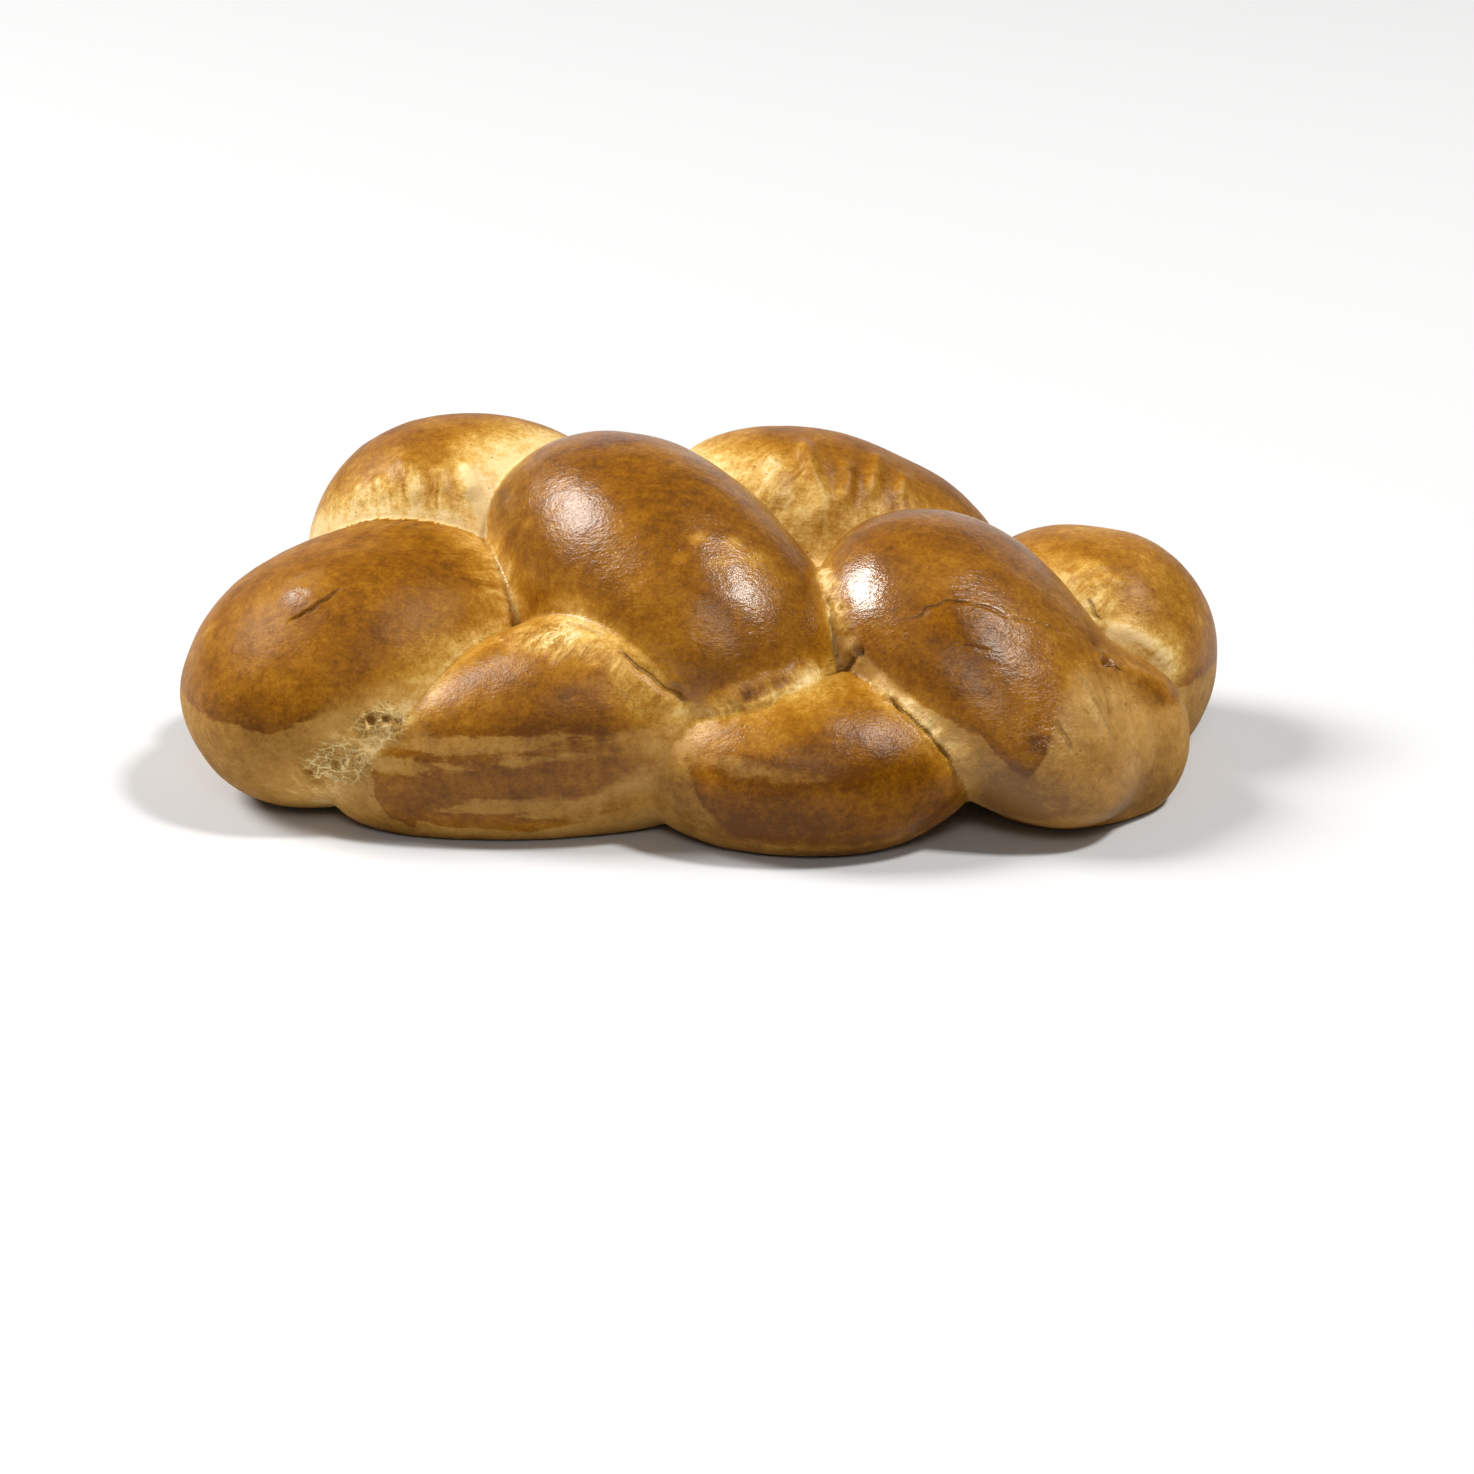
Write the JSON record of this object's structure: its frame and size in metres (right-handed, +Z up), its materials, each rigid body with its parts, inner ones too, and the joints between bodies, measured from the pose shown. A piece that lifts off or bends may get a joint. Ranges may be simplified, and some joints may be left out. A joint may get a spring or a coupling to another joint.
{
  "type": "braided loaf",
  "caption": "Plump four-strand braided loaf of white bread, egg-washed and baked golden brown, whole and uncut, with a flat base.",
  "frame": {"origin": "middle of the loaf's footprint box, on the surface it rests on", "axes": "+X along the loaf, +Z up, +Y away from the front that the middle lobes slope down to"},
  "size_m": [0.3046, 0.1648, 0.0989],
  "materials": {
    "crust": "baked egg-washed crust, satin gloss"
  },
  "bodies": {
    "root": {"loaf": "crust"}
  },
  "joints": []
}
